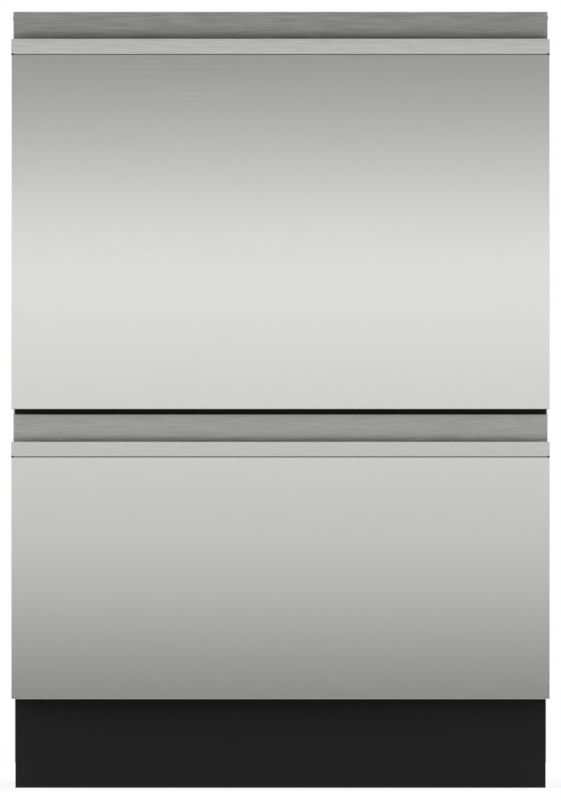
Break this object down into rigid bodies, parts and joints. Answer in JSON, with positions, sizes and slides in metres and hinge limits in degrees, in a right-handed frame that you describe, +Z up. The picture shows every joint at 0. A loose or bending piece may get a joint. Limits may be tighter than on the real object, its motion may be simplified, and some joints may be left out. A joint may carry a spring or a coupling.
{
  "type": "double drawer dishwasher",
  "caption": "Built-in dishwasher with a tall drawer over a shorter one, brushed steel fronts with recessed pulls, racks, spray arms, lifting lids and a black toe kick.",
  "frame": {"origin": "middle of the base, on the floor", "axes": "+Z up; the fronts face -Y; +X is to the right seen from the front"},
  "size_m": [0.599, 0.573, 0.865],
  "materials": {
    "brushed_stainless": "fine horizontal brushing",
    "zinc_steel": "galvanised sheet",
    "screw_steel": "plated",
    "black_paint": "satin",
    "black_gloss": "gloss",
    "black_plastic": "matte",
    "graphite_plastic": "fine texture",
    "filter_plastic": "satin",
    "tub_plastic": "satin",
    "lid_plastic": "satin",
    "arm_plastic": "satin",
    "white_plastic": "satin",
    "coated_wire": "nylon coated wire",
    "seal_rubber": "matte"
  },
  "bodies": {
    "case": {"left_side_panel": "zinc_steel", "right_side_panel": "zinc_steel", "rear_panel": "zinc_steel", "top_panel": "zinc_steel", "base_tray": "zinc_steel", "mid_rail": "black_paint", "toe_kick": "black_paint", "fixing_brackets": "zinc_steel", "runner_outer_rails": "zinc_steel", "lid_actuators": "graphite_plastic", "inlet_valve": "white_plastic", "drain_outlet": "white_plastic", "power_module": "graphite_plastic", "case_screws": "screw_steel"},
    "foot_front_left": {"foot_front_left": "black_plastic"},
    "foot_front_right": {"foot_front_right": "black_plastic"},
    "foot_rear_left": {"foot_rear_left": "black_plastic"},
    "foot_rear_right": {"foot_rear_right": "black_plastic"},
    "lower_drawer": {"lower_front_panel": "brushed_stainless", "lower_handle_lip": "brushed_stainless", "lower_handle_scoop": "brushed_stainless", "lower_front_backing": "graphite_plastic", "lower_control_housing": "black_gloss", "lower_tub": "tub_plastic", "lower_tub_rails": "zinc_steel", "lower_pump_motor": "graphite_plastic", "lower_filter_plate": "filter_plastic", "lower_rack": "coated_wire", "lower_dispenser": "white_plastic", "cutlery_basket": "graphite_plastic"},
    "lower_runners": {"lower_runner_slides": "zinc_steel"},
    "lower_lid_body": {"lower_lid": "lid_plastic", "lower_lid_seal": "seal_rubber"},
    "lower_power": {"lower_power_button": "white_plastic"},
    "lower_start": {"lower_start_button": "white_plastic"},
    "lower_arm": {"lower_spray_arm": "arm_plastic"},
    "lower_rotor": {"lower_pump_rotor": "arm_plastic"},
    "lower_tines": {"lower_tine_row": "coated_wire"},
    "lower_door": {"lower_dispenser_door": "graphite_plastic"},
    "upper_drawer": {"upper_front_panel": "brushed_stainless", "upper_handle_lip": "brushed_stainless", "upper_handle_scoop": "brushed_stainless", "upper_front_backing": "graphite_plastic", "upper_control_housing": "black_gloss", "upper_tub": "tub_plastic", "upper_tub_rails": "zinc_steel", "upper_pump_motor": "graphite_plastic", "upper_filter_plate": "filter_plastic", "upper_rack": "coated_wire", "upper_dispenser": "white_plastic"},
    "upper_runners": {"upper_runner_slides": "zinc_steel"},
    "upper_lid_body": {"upper_lid": "lid_plastic", "upper_lid_seal": "seal_rubber"},
    "upper_power": {"upper_power_button": "white_plastic"},
    "upper_start": {"upper_start_button": "white_plastic"},
    "upper_arm": {"upper_spray_arm": "arm_plastic"},
    "upper_rotor": {"upper_pump_rotor": "arm_plastic"},
    "upper_tines": {"upper_tine_row": "coated_wire"},
    "upper_door": {"upper_dispenser_door": "graphite_plastic"},
    "cup_rack": {"cup_shelf": "coated_wire"}
  },
  "joints": [
    {"name": "foot_front_left_screw", "type": "slide", "parent": "case", "child": "foot_front_left", "axis": [0, 0, -1], "range_m": [0, 0.02]},
    {"name": "foot_front_right_screw", "type": "slide", "parent": "case", "child": "foot_front_right", "axis": [0, 0, -1], "range_m": [0, 0.02]},
    {"name": "foot_rear_left_screw", "type": "slide", "parent": "case", "child": "foot_rear_left", "axis": [0, 0, -1], "range_m": [0, 0.02]},
    {"name": "foot_rear_right_screw", "type": "slide", "parent": "case", "child": "foot_rear_right", "axis": [0, 0, -1], "range_m": [0, 0.02]},
    {"name": "lower_drawer_slide", "type": "slide", "parent": "case", "child": "lower_drawer", "axis": [0, -1, 0], "range_m": [0, 0.5]},
    {"name": "lower_runner_slide", "type": "slide", "parent": "case", "child": "lower_runners", "axis": [0, -1, 0], "range_m": [0, 0.25]},
    {"name": "lower_lid_lift", "type": "slide", "parent": "case", "child": "lower_lid_body", "axis": [0, 0, 1], "range_m": [0, 0.01]},
    {"name": "lower_power_press", "type": "slide", "parent": "lower_drawer", "child": "lower_power", "axis": [0, 0, -1], "range_m": [0, 0.001], "stiffness_N_per_m": 400, "springref_m": -0.0005},
    {"name": "lower_start_press", "type": "slide", "parent": "lower_drawer", "child": "lower_start", "axis": [0, 0, -1], "range_m": [0, 0.001], "stiffness_N_per_m": 400, "springref_m": -0.0005},
    {"name": "lower_arm_spin", "type": "hinge", "parent": "lower_drawer", "child": "lower_arm", "pos_m": [0, 0.027, 0.1835], "axis": [0, 0, 1], "continuous": true},
    {"name": "lower_rotor_spin", "type": "hinge", "parent": "lower_drawer", "child": "lower_rotor", "pos_m": [0, 0.027, 0.1475], "axis": [0, 0, 1], "continuous": true},
    {"name": "lower_tines_fold", "type": "hinge", "parent": "lower_drawer", "child": "lower_tines", "pos_m": [-0.057, 0.055, 0.2123], "axis": [0, -1, 0], "range_deg": [0, 84]},
    {"name": "lower_dispenser_open", "type": "hinge", "parent": "lower_drawer", "child": "lower_door", "pos_m": [-0.02, -0.1854, 0.294], "axis": [-1, 0, 0], "range_deg": [0, 85]},
    {"name": "upper_drawer_slide", "type": "slide", "parent": "case", "child": "upper_drawer", "axis": [0, -1, 0], "range_m": [0, 0.5]},
    {"name": "upper_runner_slide", "type": "slide", "parent": "case", "child": "upper_runners", "axis": [0, -1, 0], "range_m": [0, 0.25]},
    {"name": "upper_lid_lift", "type": "slide", "parent": "case", "child": "upper_lid_body", "axis": [0, 0, 1], "range_m": [0, 0.01]},
    {"name": "upper_power_press", "type": "slide", "parent": "upper_drawer", "child": "upper_power", "axis": [0, 0, -1], "range_m": [0, 0.001], "stiffness_N_per_m": 400, "springref_m": -0.0005},
    {"name": "upper_start_press", "type": "slide", "parent": "upper_drawer", "child": "upper_start", "axis": [0, 0, -1], "range_m": [0, 0.001], "stiffness_N_per_m": 400, "springref_m": -0.0005},
    {"name": "upper_arm_spin", "type": "hinge", "parent": "upper_drawer", "child": "upper_arm", "pos_m": [0, 0.027, 0.506], "axis": [0, 0, 1], "continuous": true},
    {"name": "upper_rotor_spin", "type": "hinge", "parent": "upper_drawer", "child": "upper_rotor", "pos_m": [0, 0.027, 0.47], "axis": [0, 0, 1], "continuous": true},
    {"name": "upper_tines_fold", "type": "hinge", "parent": "upper_drawer", "child": "upper_tines", "pos_m": [-0.057, 0.055, 0.5348], "axis": [0, -1, 0], "range_deg": [0, 84]},
    {"name": "upper_dispenser_open", "type": "hinge", "parent": "upper_drawer", "child": "upper_door", "pos_m": [-0.02, -0.1854, 0.742], "axis": [-1, 0, 0], "range_deg": [0, 85]},
    {"name": "cup_shelf_fold", "type": "hinge", "parent": "upper_drawer", "child": "cup_rack", "pos_m": [0.256, 0.055, 0.668], "axis": [0, 1, 0], "range_deg": [0, 84]}
  ],
  "couplings": [
    {"joint": "lower_runner_slide", "follows": "lower_drawer_slide", "ratio": 0.5},
    {"joint": "upper_runner_slide", "follows": "upper_drawer_slide", "ratio": 0.5}
  ]
}
